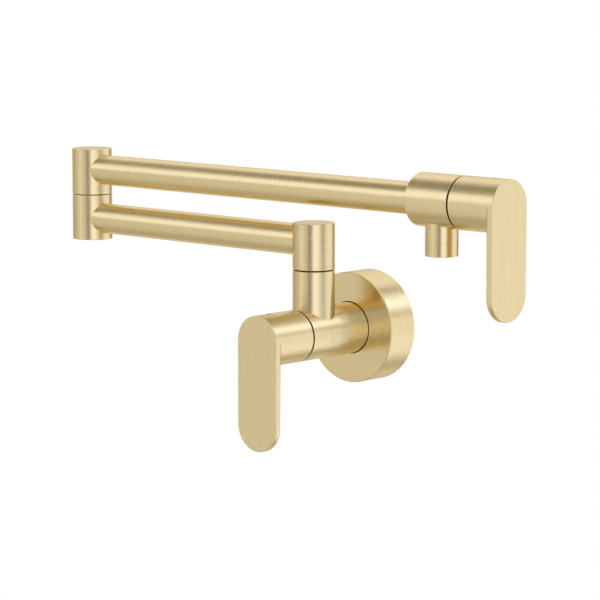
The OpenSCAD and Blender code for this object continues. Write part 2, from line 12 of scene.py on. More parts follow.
import bpy
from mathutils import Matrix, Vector


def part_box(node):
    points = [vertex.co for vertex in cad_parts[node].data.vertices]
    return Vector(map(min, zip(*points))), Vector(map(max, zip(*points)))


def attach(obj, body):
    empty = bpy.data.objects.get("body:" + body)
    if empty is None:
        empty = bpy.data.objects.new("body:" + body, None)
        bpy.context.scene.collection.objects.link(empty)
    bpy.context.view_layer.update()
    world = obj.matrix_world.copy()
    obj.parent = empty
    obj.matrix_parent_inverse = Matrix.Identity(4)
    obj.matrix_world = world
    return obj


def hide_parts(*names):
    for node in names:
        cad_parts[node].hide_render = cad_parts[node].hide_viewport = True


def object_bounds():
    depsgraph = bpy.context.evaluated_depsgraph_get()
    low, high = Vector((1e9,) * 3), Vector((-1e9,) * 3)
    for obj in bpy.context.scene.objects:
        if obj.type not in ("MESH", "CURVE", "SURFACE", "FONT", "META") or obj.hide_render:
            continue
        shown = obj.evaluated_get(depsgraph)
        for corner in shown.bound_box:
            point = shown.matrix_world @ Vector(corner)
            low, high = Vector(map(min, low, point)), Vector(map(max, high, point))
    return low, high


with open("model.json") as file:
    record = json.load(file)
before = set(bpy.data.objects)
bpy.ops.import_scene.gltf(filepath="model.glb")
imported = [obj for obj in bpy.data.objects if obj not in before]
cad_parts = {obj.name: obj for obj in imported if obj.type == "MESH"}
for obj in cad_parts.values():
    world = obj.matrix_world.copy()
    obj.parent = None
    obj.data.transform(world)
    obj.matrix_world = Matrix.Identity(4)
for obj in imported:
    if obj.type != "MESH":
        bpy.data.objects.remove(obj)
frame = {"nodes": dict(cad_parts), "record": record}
cad_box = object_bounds()

# %% [markdown]
# ## Sizes
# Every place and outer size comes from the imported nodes, so the new pieces sit exactly where the
# construction has them. What a box can't tell, such as a wall, a bore or a rounded edge, is written
# down in metres, here or beside the piece that it belongs to.

# %% Sizes taken from the nodes
MM = 0.001


class Extent:
    """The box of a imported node, with the few measures that a turned part needs."""

    def __init__(self, node):
        self.low, self.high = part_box(node)
        self.middle = (self.low + self.high) / 2
        self.size = self.high - self.low


def extents(*nodes):
    """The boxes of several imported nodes."""
    return [Extent(node) for node in nodes]


post, lower_elbow, upper_elbow = extents("post_block", "elbow_lower_block", "elbow_upper_block")
stem, body, flange = extents("wall_valve_post", "wall_valve_body", "wall_flange")
lower_tube, upper_tube = extents("lower_arm_tube", "upper_arm_tube")
valve, outlet = extents("spout_valve_body", "spout_outlet")
wall_lever, spout_lever = extents("wall_lever", "spout_lever")
post_screw, elbow_screw, body_screw = extents("post_lock_screw", "elbow_lock_screw", "body_lock_screw")

joint_r = post.size.x / 2
tube_r = lower_tube.size.y / 2
body_r = body.size.x / 2
post_gap = post.low.z - stem.high.z
elbow_gap = upper_elbow.low.z - lower_elbow.high.z
lever_gap = body.low.y - wall_lever.high.y
half_lever_gap = lever_gap / 2
print(f"post Ø{2 * joint_r / MM:.1f}, tubes Ø{2 * tube_r / MM:.1f}, valves Ø{2 * body_r / MM:.1f} mm")
print(f"gaps: post {post_gap / MM:.2f}, elbow {elbow_gap / MM:.2f}, levers {lever_gap / MM:.2f} mm")

# %% Sizes that several pieces share
tube_wall = 1.5 * MM
waterway_r = 6.5 * MM
seam_edge, end_edge = 0.25 * MM, 0.4 * MM
RIGHT, TO_WALL, UP, OUT = Vector((1, 0, 0)), Vector((0, 1, 0)), Vector((0, 0, 1)), Vector((0, -1, 0))

# %% [markdown]
# ## Turning a part
# Nearly every piece of this tap comes off a lathe, and a lathe is what the spin operator is. A section
# is drawn as a line of edges, vertex by vertex, and spun once round its axis. A cylinder primitive with
# insets would do for a plain bar, but a section also holds the bores and steps inside, so that the
# piece is a true hollow shell. Where the spin closes, points nearer than MERGE become one.

# %% Drawing a section and spinning it
SEGMENTS = 160
MERGE = 1e-6


def select_none():
    """Leaves whatever was selected, so that an operator acts on the new piece alone."""
    if bpy.context.object and bpy.context.object.mode != "OBJECT":
        bpy.ops.object.mode_set(mode="OBJECT")
    bpy.ops.object.select_all(action="DESELECT")


def across(axis):
    """A direction at right angles to an axis."""
    return RIGHT if abs(axis.z) > 0.5 else UP


def turn(name, centre, axis, section, segments=SEGMENTS):
    """A solid of revolution. The section is a round of (radius, distance along the axis), and the
    axis itself closes one that starts and ends on it."""
    select_none()
    out = across(axis)
    points = [centre + out * r + axis * z for r, z in section]
    bpy.ops.mesh.primitive_plane_add(size=MM, location=points[0])
    piece = bpy.context.object
    piece.name = piece.data.name = name
    bpy.ops.object.transform_apply(location=True, rotation=True, scale=True)
    bpy.ops.object.mode_set(mode="EDIT")
    bpy.ops.mesh.select_mode(type="VERT")
    bpy.ops.mesh.select_all(action="SELECT")
    bpy.ops.mesh.merge(type="CENTER")
    on_axis = section[0][0] == 0 and section[-1][0] == 0
    line = points if on_axis else points + points[:1]
    for here, there in zip(line, line[1:]):
        bpy.ops.mesh.extrude_region_move(TRANSFORM_OT_translate={"value": there - here})
    bpy.ops.mesh.select_all(action="SELECT")
    bpy.ops.mesh.remove_doubles(threshold=MERGE)
    bpy.ops.mesh.spin(steps=segments, angle=math.tau, center=centre, axis=axis)
    bpy.ops.mesh.select_all(action="SELECT")
    bpy.ops.mesh.remove_doubles(threshold=MERGE)
    bpy.ops.mesh.normals_make_consistent(inside=False)
    bpy.ops.object.mode_set(mode="OBJECT")
    return piece


# %% [markdown]
# ## Rounding and finishing
# No real edge is perfectly sharp, and a narrow round one catches a line of light. The edges at a seam
# or an end form a ring, which is found by its radius and its place along the axis, to within NEAR, and
# then bevelled. A Bevel modifier would round every sharp edge alike, also inside and where two pieces
# meet. Smooth shading up to 30 degrees and weighted normals then keep flat faces flat beside the small
# bevels.

# %% Selecting by place
NEAR = 2e-6


def make_active(piece):
    """Makes a piece the only selected object, so that operators act on it."""
    select_none()
    piece.select_set(True)
    bpy.context.view_layer.objects.active = piece


def clear_mesh(piece, kind):
    """Deselects everything in a piece's mesh, and sets whether vertices, edges or faces are picked."""
    make_active(piece)
    bpy.ops.object.mode_set(mode="EDIT")
    bpy.ops.mesh.select_mode(type=kind)
    bpy.ops.mesh.select_all(action="DESELECT")
    bpy.ops.object.mode_set(mode="OBJECT")


def pick(piece, kind, test):
    """Selects what passes a test and goes into edit mode. An edge is tested by its two ends, a face by
    its centre and normal."""
    clear_mesh(piece, kind)
    mesh = piece.data
    if kind == "EDGE":
        found = [e for e in mesh.edges if test(*[mesh.vertices[i].co for i in e.vertices])]
    else:
        found = [f for f in mesh.polygons if test(f.center, f.normal)]
    for element in found:
        element.select = True
    bpy.ops.object.mode_set(mode="EDIT")


# %% Rounding a ring edge
def round_ring(piece, centre, axis, radius, z, width, steps=3):
    """Bevels the ring edge that lies at a radius and a distance along the axis."""

    def on_ring(p, q):
        for point in (p, q):
            along = (point - centre).dot(axis)
            off_axis = (point - centre - axis * along).length
            if abs(along - z) > NEAR or abs(off_axis - radius) > NEAR:
                return False
        return True

    pick(piece, "EDGE", on_ring)
    bpy.ops.mesh.bevel(offset=width, segments=steps, affect="EDGES")
    bpy.ops.object.mode_set(mode="OBJECT")


# %% Finishing a piece
SMOOTH_UP_TO = math.radians(30)


def apply_modifier(piece, modifier):
    """Turns a modifier's result into the piece's own mesh."""
    make_active(piece)
    bpy.ops.object.modifier_apply(modifier=modifier.name)


def finish_piece(piece, body_name, node):
    """Smooths a piece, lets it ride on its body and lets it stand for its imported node."""
    make_active(piece)
    bpy.ops.object.shade_smooth_by_angle(angle=SMOOTH_UP_TO)
    weighted = piece.modifiers.new("Level faces", "WEIGHTED_NORMAL")
    weighted.keep_sharp = True
    apply_modifier(piece, weighted)
    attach(piece, body_name)
    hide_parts(node)
    print(f"{piece.name}: {len(piece.data.polygons)} faces")


# %% [markdown]
# ## Drilling a screw hole
# Set screws lock the swivels, the valve's body and the levers, each at the bottom of a small hole. A
# Boolean with a turned drill cuts it. Two plain rings in the section, one on each side of the hole,
# keep the cut faces short, so that the rest of the bar still reflects as one smooth surface.

# %% Drilling
HOLE_MARGIN = 0.6 * MM
DRILL_SEGMENTS = 48


def plain_rings(radius, middle, hole_r):
    """The two section points that frame a hole, the far one first."""
    return [(radius, middle + hole_r + HOLE_MARGIN), (radius, middle - hole_r - HOLE_MARGIN)]


def drill_hole(piece, start, direction, radius, length):
    """Cuts a round hole from a point outwards, and clears the tiny edges that the cut leaves."""
    section = [(0, 0), (radius, 0), (radius, length), (0, length)]
    drill = turn("drill", start, direction, section, DRILL_SEGMENTS)
    hole = piece.modifiers.new("Screw hole", "BOOLEAN")
    hole.operation = "DIFFERENCE"
    hole.solver = "EXACT"
    hole.object = drill
    apply_modifier(piece, hole)
    bpy.data.objects.remove(drill)
    clear_mesh(piece, "VERT")
    bpy.ops.object.mode_set(mode="EDIT")
    bpy.ops.mesh.select_all(action="SELECT")
    bpy.ops.mesh.remove_doubles(threshold=NEAR)
    bpy.ops.mesh.dissolve_degenerate(threshold=NEAR)
    bpy.ops.object.mode_set(mode="OBJECT")


# %% [markdown]
# ## Coping one tube to another
# Where a tube meets a post it is cut to the post's curve, a cut that plumbers call a cope. A Boolean
# would do it but leaves slivers along the tube. Here the end ring is slid along the tube's own axis
# until it lies on the post, with a Shrinkwrap modifier in its Project mode, so the faces stay clean
# strips and reflect without a flaw.


# %% Sliding an end ring onto a curved surface
def cope(piece, target, at_end, direction):
    """Slides the vertices that pass the test at_end along a direction onto a target's surface."""
    group = piece.vertex_groups.new(name="end")
    group.add([v.index for v in piece.data.vertices if at_end(v.co)], 1.0, "REPLACE")
    wrap = piece.modifiers.new("Cope", "SHRINKWRAP")
    wrap.wrap_method = "PROJECT"
    wrap.target = target
    wrap.vertex_group = "end"
    axis = max(range(3), key=lambda i: abs(direction[i]))
    wrap.use_project_x, wrap.use_project_y, wrap.use_project_z = [i == axis for i in range(3)]
    wrap.use_positive_direction = direction[axis] > 0
    wrap.use_negative_direction = direction[axis] < 0
    apply_modifier(piece, wrap)
    piece.vertex_groups.clear()


# %% [markdown]
# ## Post, elbow and their blocks
# The post and the elbow are 1 inch bar. Each upper block is bored from the seam for the spigot that it
# turns on, and for the washer that it slides on. The piece below holds the spigot by its root and the
# collar over that. The gap between the two, 0.8 mm at the post and 0.4 mm at the elbow, reads as a
# fine dark line.

# %% Sizes of the swivels
socket_r, washer_seat_r, washer_l = 8.06 * MM, 11.68 * MM, 1.4 * MM
lock_r, lock_seat, pin_hole_r = 2 * MM, socket_r + 0.5 * MM, 1.1 * MM
root_r, root_seat_r, root_seat_l, root_l = 9.04 * MM, 10.54 * MM, 2.0 * MM, 9.45 * MM
chamber_r, chamber_past_tube = 7 * MM, 6.5 * MM


def upright(extent):
    """The point on a block's axis at the height of its lower end."""
    return Vector((extent.middle.x, extent.middle.y, extent.low.z))


# %% Blocks that turn on a spigot
def swivel_block(name, extent, gap, tube_z, screw):
    """Washer seat and socket from below, closed above, and a hole towards the wall for the screw that
    locks it."""
    top = extent.size.z
    washer_seat_l = washer_l - gap
    socket_end = tube_z + chamber_past_tube - extent.low.z
    lock_z = screw.middle.z - extent.low.z
    foot = upright(extent)
    piece = turn(name, foot, UP, [
        (0, top), (joint_r, top), *plain_rings(joint_r, lock_z, lock_r),
        (joint_r, 0), (washer_seat_r, 0), (washer_seat_r, washer_seat_l),
        (socket_r, washer_seat_l), (socket_r, socket_end), (0, socket_end),
    ])
    round_ring(piece, foot, UP, joint_r, top, end_edge)
    round_ring(piece, foot, UP, joint_r, 0, seam_edge)
    lock_start = foot + UP * lock_z
    drill_hole(piece, lock_start, TO_WALL, pin_hole_r, 2 * joint_r)
    drill_hole(piece, lock_start + TO_WALL * lock_seat, TO_WALL, lock_r, joint_r)
    return piece


block_on_post = swivel_block("block_on_post", post, post_gap, lower_tube.middle.z, post_screw)
elbow_top = swivel_block("elbow_top", upper_elbow, elbow_gap, upper_tube.middle.z, elbow_screw)
finish_piece(block_on_post, "lower_arm", "post_block")
finish_piece(elbow_top, "upper_arm", "elbow_upper_block")

# %% The elbow's lower block
# It holds the spigot from above and has the water chamber below it.
elbow_foot = upright(lower_elbow)
elbow_seam = lower_elbow.size.z
elbow_root_end = elbow_seam + elbow_gap / 2 - root_l
chamber_floor = lower_tube.middle.z - chamber_past_tube - lower_elbow.low.z

elbow_bottom = turn("elbow_bottom", elbow_foot, UP, [
    (0, 0), (joint_r, 0), (joint_r, elbow_seam), (root_seat_r, elbow_seam),
    (root_seat_r, elbow_seam - root_seat_l), (root_r, elbow_seam - root_seat_l),
    (root_r, elbow_root_end), (chamber_r, elbow_root_end), (chamber_r, chamber_floor), (0, chamber_floor),
])
round_ring(elbow_bottom, elbow_foot, UP, joint_r, 0, end_edge)
round_ring(elbow_bottom, elbow_foot, UP, joint_r, elbow_seam, seam_edge)
finish_piece(elbow_bottom, "lower_arm", "elbow_lower_block")

# %% [markdown]
# ## The wall valve's body and its post
# The body is a bar that stands straight out from the wall. It is bored from the wall side for the
# bracket's nose and from the lever side for the cartridge, with a waterway between. The post stands on
# it, coped to its curve.

# %% Wall valve body
nose_bore_r, nose_bore_end = 12.56 * MM, 33.3 * MM
cavity_r, cavity_l = 10.2 * MM, 26 * MM - half_lever_gap
wall_axis = Vector((body.middle.x, 0, body.middle.z))
body_back, body_front = -body.high.y, -body.low.y
body_screw_z, body_screw_r = -body_screw.middle.y, 2.5 * MM

valve_body = turn("valve_body", wall_axis, OUT, [
    (nose_bore_r, body_back), (body_r, body_back),
    *reversed(plain_rings(body_r, body_screw_z, body_screw_r)),
    (body_r, body_front), (cavity_r, body_front), (cavity_r, body_front - cavity_l),
    (waterway_r, body_front - cavity_l), (waterway_r, nose_bore_end), (nose_bore_r, nose_bore_end),
])
round_ring(valve_body, wall_axis, OUT, body_r, body_front, seam_edge)
drill_hole(valve_body, wall_axis + OUT * body_screw_z, -UP, body_screw_r, 2 * body_r)
finish_piece(valve_body, "wall_valve", "wall_valve_body")

# %% Post on the body
post_axis = Vector((stem.middle.x, stem.middle.y, body.middle.z))
stem_top = stem.high.z - post_axis.z
stem_bore_r = 6 * MM
stem_root_end = stem_top + post_gap / 2 - root_l

valve_post = turn("valve_post", post_axis, UP, [
    (stem_bore_r, 0), (joint_r, 0), (joint_r, stem_top), (root_seat_r, stem_top),
    (root_seat_r, stem_top - root_seat_l), (root_r, stem_top - root_seat_l),
    (root_r, stem_root_end), (stem_bore_r, stem_root_end),
])
cope(valve_post, valve_body, lambda p: p.z < post_axis.z + MERGE, UP)
round_ring(valve_post, post_axis, UP, joint_r, stem_top, seam_edge)
finish_piece(valve_post, "wall_valve", "wall_valve_post")

# %% [markdown]
# ## The arm tubes
# Both arms are 3/4 inch tube with a 1.5 mm wall. The lower one is coped at both ends. The upper one is
# coped at the elbow and plugs into the spout valve's body.


# %% Arm tubes
def tube(name, extent, x0, x1):
    """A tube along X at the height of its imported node."""
    start = Vector((x0, extent.middle.y, extent.middle.z))
    inner_r, length = tube_r - tube_wall, x1 - x0
    return turn(name, start, RIGHT, [(inner_r, 0), (tube_r, 0), (tube_r, length), (inner_r, length)])


elbow_x = lower_elbow.middle.x
lower_arm = tube("lower_arm_pipe", lower_tube, elbow_x, post.middle.x)
cope(lower_arm, elbow_bottom, lambda p: p.x < elbow_x + MERGE, RIGHT)
cope(lower_arm, block_on_post, lambda p: p.x > post.middle.x - MERGE, -RIGHT)
finish_piece(lower_arm, "lower_arm", "lower_arm_tube")

upper_arm = tube("upper_arm_pipe", upper_tube, elbow_x, upper_tube.high.x)
cope(upper_arm, elbow_top, lambda p: p.x < elbow_x + MERGE, RIGHT)
finish_piece(upper_arm, "upper_arm", "upper_arm_tube")

# %% [markdown]
# ## The spout valve
# Its body is the same bar as the wall valve's, with a socket for the upper arm at the back and the
# cartridge's cavity at the lever side. The outlet tube hangs from it, coped like the post.

# %% Spout valve body
arm_axis = Vector((valve.low.x, valve.middle.y, valve.middle.z))
valve_l = valve.size.x
solder_gap = 0.02 * MM
arm_socket_r, arm_socket_l = tube_r + solder_gap, 4 * MM

spout_body = turn("spout_body", arm_axis, RIGHT, [
    (arm_socket_r, 0), (body_r, 0), (body_r, valve_l), (cavity_r, valve_l),
    (cavity_r, valve_l - cavity_l), (waterway_r, valve_l - cavity_l),
    (waterway_r, arm_socket_l), (arm_socket_r, arm_socket_l),
])
round_ring(spout_body, arm_axis, RIGHT, body_r, 0, end_edge)
round_ring(spout_body, arm_axis, RIGHT, body_r, valve_l, seam_edge)
finish_piece(spout_body, "upper_arm", "spout_valve_body")

# %% Outlet
outlet_r, mouth_edge = outlet.size.x / 2, 0.3 * MM
aerator_seat_r, aerator_seat_l = 8.25 * MM, 11 * MM
outlet_axis = Vector((outlet.middle.x, outlet.middle.y, outlet.low.z))
outlet_top = valve.middle.z - outlet.low.z

spout_nozzle = turn("spout_nozzle", outlet_axis, UP, [
    (aerator_seat_r, 0), (outlet_r, 0), (outlet_r, outlet_top), (waterway_r, outlet_top),
    (waterway_r, aerator_seat_l), (aerator_seat_r, aerator_seat_l),
])
cope(spout_nozzle, spout_body, lambda p: p.z > valve.middle.z - MERGE, -UP)
round_ring(spout_nozzle, outlet_axis, UP, outlet_r, 0, mouth_edge)
finish_piece(spout_nozzle, "upper_arm", "spout_outlet")

# %% [markdown]
# ## The wall flange
# A deep cup that hides the bracket. Its collar grips the body with an O-ring, so it can be slid off the
# wall to reach the screws. The rim keeps a crisp edge that is only just broken.

# %% Flange
FLANGE_SEGMENTS, RIM_STEPS = 224, 4
flange_r, flange_l = flange.size.x / 2, flange.size.y
flange_wall, rim_edge, back_edge = 2.5 * MM, 0.7 * MM, 0.3 * MM
flange_play, collar_wall, groove_depth = 0.45 * MM, 3.6 * MM, 1.15 * MM
collar_z, groove_z0, groove_z1 = 12 * MM, 14.65 * MM, 16.55 * MM
hole_r = body_r + flange_play
collar_r, groove_r = hole_r + collar_wall, hole_r + groove_depth
skirt_r, face_back = flange_r - flange_wall, flange_l - flange_wall

cup = turn("flange_cup", wall_axis, OUT, [
    (flange_r, 0), (flange_r, flange_l), (hole_r, flange_l), (hole_r, groove_z1), (groove_r, groove_z1),
    (groove_r, groove_z0), (hole_r, groove_z0), (hole_r, collar_z), (collar_r, collar_z),
    (collar_r, face_back), (skirt_r, face_back), (skirt_r, 0),
], FLANGE_SEGMENTS)
round_ring(cup, wall_axis, OUT, flange_r, flange_l, rim_edge, RIM_STEPS)
round_ring(cup, wall_axis, OUT, flange_r, 0, back_edge)
finish_piece(cup, "wall_valve", "wall_flange")

# %% [markdown]
# ## The levers
# Hub and blade are one casting: a round hub that runs on, without a step, into a blade with a round
# end. It starts as a bar. The lower half of the band in front is extruded downwards, which makes the
# blade and leaves the hub's round top in one smooth line with it. The back is bored for the stop ring
# and the spindle, and the edges of the blade are rounded by half a millimetre.

# %% Sizes of the levers
hub_l, blade_t, blade_edge = 29.2 * MM, 3.8 * MM, 0.5 * MM
screw_from_seam, screw_r = 22.7 * MM, 1.25 * MM
glide_seat_r, glide_seat_l = 13.2 * MM, 3.6 * MM
hub_cavity_r, hub_cavity_l = 12.2 * MM, 12 * MM
spline_hole_r, spline_hole_end = 4.05 * MM, 27 * MM

# %% Selecting on a lever
SHARP_FROM = math.radians(60)


def looks_along(normal, axis):
    """Whether a face looks along an axis rather than sideways."""
    return abs(normal.dot(axis)) > 0.5


def pick_sharp(piece, test):
    """Selects the sharp edges whose middle passes a test, and stays in edit mode."""
    clear_mesh(piece, "EDGE")
    bpy.ops.object.mode_set(mode="EDIT")
    bpy.ops.mesh.edges_select_sharp(sharpness=SHARP_FROM)
    bpy.ops.object.mode_set(mode="OBJECT")
    mesh = piece.data
    for edge in mesh.edges:
        p, q = [mesh.vertices[i].co for i in edge.vertices]
        edge.select = edge.select and test((p + q) / 2)
    for element in [*mesh.vertices, *mesh.polygons]:
        element.select = False
    bpy.ops.object.mode_set(mode="EDIT")


# %% Modelling a lever along its own axis
BLADE_STEPS = 4


def lever(name, seam, axis, drop):
    """A lever whose blade hangs down. The seam is the point on the axis midway in the gap, and drop is
    how far below the axis the blade ends."""
    front = hub_l + blade_t
    piece = turn(name, seam, axis, [
        (0, front), (body_r, front), (body_r, hub_l), *plain_rings(body_r, screw_from_seam, screw_r),
        (body_r, half_lever_gap), (glide_seat_r, half_lever_gap),
        (glide_seat_r, glide_seat_l), (hub_cavity_r, glide_seat_l), (hub_cavity_r, hub_cavity_l),
        (spline_hole_r, hub_cavity_l), (spline_hole_r, spline_hole_end), (0, spline_hole_end),
    ])

    def low_band(centre, normal):
        along = (centre - seam).dot(axis)
        return hub_l < along < front and not looks_along(normal, axis) and centre.z < seam.z

    pick(piece, "FACE", low_band)
    bpy.ops.mesh.extrude_region_move(TRANSFORM_OT_translate={"value": (0, 0, body_r - drop)})
    bpy.ops.object.mode_set(mode="OBJECT")
    for place in (hub_l, front):

        def lies_there(centre, normal):
            return abs((centre - seam).dot(axis) - place) < NEAR and looks_along(normal, axis)

        pick(piece, "FACE", lies_there)
        bpy.ops.mesh.dissolve_faces()
        bpy.ops.object.mode_set(mode="OBJECT")

    def blade_rim(middle):
        along = (middle - seam).dot(axis)
        off_axis = (middle - seam - axis * along).length
        in_front = abs(along - front) < NEAR
        return in_front or (abs(along - hub_l) < NEAR and off_axis > body_r + NEAR)

    pick_sharp(piece, blade_rim)
    bpy.ops.mesh.bevel(offset=blade_edge, segments=BLADE_STEPS, affect="EDGES")
    bpy.ops.object.mode_set(mode="OBJECT")
    round_ring(piece, seam, axis, body_r, half_lever_gap, seam_edge)
    drill_hole(piece, seam + axis * screw_from_seam, UP, screw_r, 2 * body_r)
    return piece


# %% The two levers
front_seam = Vector((wall_lever.middle.x, wall_lever.high.y + half_lever_gap, body.middle.z))
front_lever = lever("front_lever", front_seam, OUT, front_seam.z - wall_lever.low.z)
finish_piece(front_lever, "wall_lever", "wall_lever")

side_seam = Vector((spout_lever.low.x - half_lever_gap, valve.middle.y, valve.middle.z))
side_lever = lever("side_lever", side_seam, RIGHT, side_seam.z - spout_lever.low.z)
finish_piece(side_lever, "spout_lever", "spout_lever")

# %% [markdown]
# ## Writing shader maths
# A material is a small graph of nodes. Wrapping a socket in a class that overloads the operators lets
# the maths be written as it would be on paper, and each operator adds its own Math node. Every other
# node comes from one method, so that a material reads as a list of what it is made of.


# %% A socket that can be added and multiplied
class Value:
    """One output socket of a shader's node, with arithmetic."""

    def __init__(self, shader, socket):
        self.shader, self.socket = shader, socket

    def maths(self, operation, *others):
        """A Math node on this value and any others."""
        values = dict(enumerate((self, *others)))
        return self.shader.node("Math", {"operation": operation}, numbered=values)

    def __add__(self, other):
        return self.maths("ADD", other)

    def __mul__(self, other):
        return self.maths("MULTIPLY", other)

    def __sub__(self, other):
        return self.maths("SUBTRACT", other)

    def __rsub__(self, other):
        return (self * -1.0) + other

    __radd__ = __add__
    __rmul__ = __mul__


# %% The nodes of a material or world
class Shader:
    """The node tree of a material or a world."""

    def __init__(self, owner):
        owner.use_nodes = True
        self.tree = owner.node_tree
        self.tree.nodes.clear()

    def node(self, kind, settings=None, output=0, numbered=None, **named):
        """Adds a node with its settings, then sets or links its sockets, by number or by name with _
        for a space. Gives back one output, or a list of outputs, or nothing where there is none."""
        made = self.tree.nodes.new("ShaderNode" + kind)
        for key, value in (settings or {}).items():
            setattr(made, key, value)
        sockets = dict(numbered or {})
        sockets.update({key.replace("_", " "): value for key, value in named.items()})
        for key, value in sockets.items():
            if isinstance(value, Value):
                self.tree.links.new(value.socket, made.inputs[key])
            else:
                made.inputs[key].default_value = value
        if output is None:
            return None
        if isinstance(output, tuple):
            return [Value(self, made.outputs[key]) for key in output]
        return Value(self, made.outputs[output])


# %% Helpers that several shaders share
AXES = ("X", "Y", "Z")
NOISE_ROUGHNESS = 0.6
MIX_FACTOR, MIX_FIRST, MIX_SECOND, MIX_RESULT = 0, 6, 7, 2


def mix_colours(shader, factor, first, second, blend="MIX"):
    """A Mix node on two colours. Its sockets for numbers and colours share names, so they are told
    apart by number."""
    return shader.node(
        "Mix", {"data_type": "RGBA", "blend_type": blend}, output=MIX_RESULT,
        numbered={MIX_FACTOR: factor, MIX_FIRST: first, MIX_SECOND: second},
    )


def smooth_step(value, start, end):
    """Rises smoothly from 0 to 1 between two values."""
    settings = {"interpolation_type": "SMOOTHSTEP"}
    return value.shader.node("MapRange", settings, Value=value, From_Min=start, From_Max=end)


def show_surface(shader, colour, metallic, roughness, bump, **more):
    """The one glossy surface of a finish, linked to the material's output."""
    surface = shader.node(
        "BsdfPrincipled", Base_Color=colour, Metallic=metallic, Roughness=roughness, Normal=bump, **more,
    )
    shader.node("OutputMaterial", output=None, Surface=surface)


# %% [markdown]
# ## Brushed brass
# The finish is a pale champagne brass under fine brushing. On turned pieces the marks run round the
# piece, as a lathe leaves them, and on the flat levers they run down the blade. The marks are noise
# stretched along their own direction: a faint bump, a little roughness and a trace of tone. They are
# counted to the metre, few along a mark and many across it.

# %% Measures of the brushed finish
BRASS, BRASS_AT_GRAZING = (0.83, 0.687, 0.406, 1), (0.93, 0.85, 0.69, 1)
BRASS_ROUGHNESS = 0.2
MARKS_ALONG, HAIRS_ACROSS, DRIFTS_ACROSS = 25.0, 2600.0, 700.0
HAIR_DETAIL, DRIFT_DETAIL = 2.0, 3.0
HAIR_TONE, DRIFT_TONE = 0.10, 0.10
HAIR_ROUGHNESS, DRIFT_ROUGHNESS = 0.12, 0.06
HAIR_STRENGTH, HAIR_DEPTH = 0.5, 0.2 * MM
# How far the wall of a screw hole is darkened: painted shade for the recess.
HOLE_PLAY, HOLE_PAINTED_SHADE = 0.04 * MM, 0.85


# %% The brushed finish
def painted_hole_shade(shader, place, screw):
    """1 on the wall of the hole above a screw, where shade is painted, 0 elsewhere."""
    x, y, z = shader.node("SeparateXYZ", output=AXES, Vector=place)
    off_x, off_y = x - screw.middle.x, y - screw.middle.y
    near_axis = (off_x * off_x + off_y * off_y).maths("LESS_THAN", (screw_r + HOLE_PLAY) ** 2)
    return near_axis * z.maths("GREATER_THAN", screw.middle.z)


def brushed(name, narrow_along, screw=None):
    """Brass brushed in fine hairs and broader drifts, with the axes that they are narrow along. The wall
    of the bore above a screw is painted dark, as painted shade for the deep hole."""
    material = bpy.data.materials.new(name)
    shader = Shader(material)
    place = shader.node("TexCoord", output="Object")

    def marks(to_a_metre, detail):
        scale = [to_a_metre if axis in narrow_along else MARKS_ALONG for axis in AXES]
        stretched = shader.node("Mapping", Vector=place, Scale=scale)
        return shader.node(
            "TexNoise", Vector=stretched, Scale=1.0, Detail=detail, Roughness=NOISE_ROUGHNESS,
        )

    hairs, drifts = marks(HAIRS_ACROSS, HAIR_DETAIL), marks(DRIFTS_ACROSS, DRIFT_DETAIL)
    shade = (hairs - 0.5) * HAIR_TONE + (drifts - 0.5) * DRIFT_TONE + 1.0
    # The wall of the hole above the screw is darkened: painted shade in place of the shade inside the
    # recess.
    if screw:
        shade = shade * (1.0 - painted_hole_shade(shader, place, screw) * HOLE_PAINTED_SHADE)
    grey = shader.node("CombineColor", Red=shade, Green=shade, Blue=shade)
    tone = mix_colours(shader, 1.0, BRASS, grey, "MULTIPLY")
    rough = (hairs - 0.5) * HAIR_ROUGHNESS + (drifts - 0.5) * DRIFT_ROUGHNESS + BRASS_ROUGHNESS
    bump = shader.node("Bump", Height=hairs, Strength=HAIR_STRENGTH, Distance=HAIR_DEPTH)
    show_surface(shader, tone, 1.0, rough, bump, Specular_Tint=BRASS_AT_GRAZING)
    return material


# %% Brass on the outer pieces
around_z = brushed("brass_turned_upright", "Z")
around_x = brushed("brass_turned_along_arm", "X")
around_y = brushed("brass_turned_off_wall", "Y")
outer_finishes = [
    (around_z, (block_on_post, elbow_top, elbow_bottom, valve_post, spout_nozzle)),
    (around_x, (lower_arm, upper_arm, spout_body)),
    (around_y, (valve_body, cup)),
    (brushed("front_lever_brass", "XY", Extent("wall_lever_screw")), (front_lever,)),
    (brushed("side_lever_brass", "XY", Extent("spout_lever_screw")), (side_lever,)),
]
for finish, pieces in outer_finishes:
    for piece in pieces:
        piece.data.materials.append(finish)
    print(f"{finish.name}: {', '.join(piece.name for piece in pieces)}")

# %% [markdown]
# ## Finishes of the inner parts
# The inner parts show at the spout's mouth, behind the flange and in the seams. They keep their packed
# meshes, and each material slot of the record gets one finish. Its roughness and surface vary a little,
# as they do on anything machined or moulded.

# %% Plain finishes with a little life
GRAIN_DETAIL, GRAIN_ROUGHNESS, GRAIN_DEPTH = 3.0, 0.2, 0.1 * MM


def grained(name, colour, roughness, metallic=0.0, grain=900.0, strength=0.05):
    """A machined or moulded finish. grain is how many grains a metre holds."""
    material = bpy.data.materials.new(name)
    shader = Shader(material)
    place = shader.node("TexCoord", output="Object")
    noise = shader.node(
        "TexNoise", Vector=place, Scale=grain, Detail=GRAIN_DETAIL, Roughness=NOISE_ROUGHNESS,
    )
    rough = (noise - 0.5) * GRAIN_ROUGHNESS + roughness
    bump = shader.node("Bump", Height=noise, Strength=strength, Distance=GRAIN_DEPTH)
    show_surface(shader, colour, metallic, rough, bump)
    return material


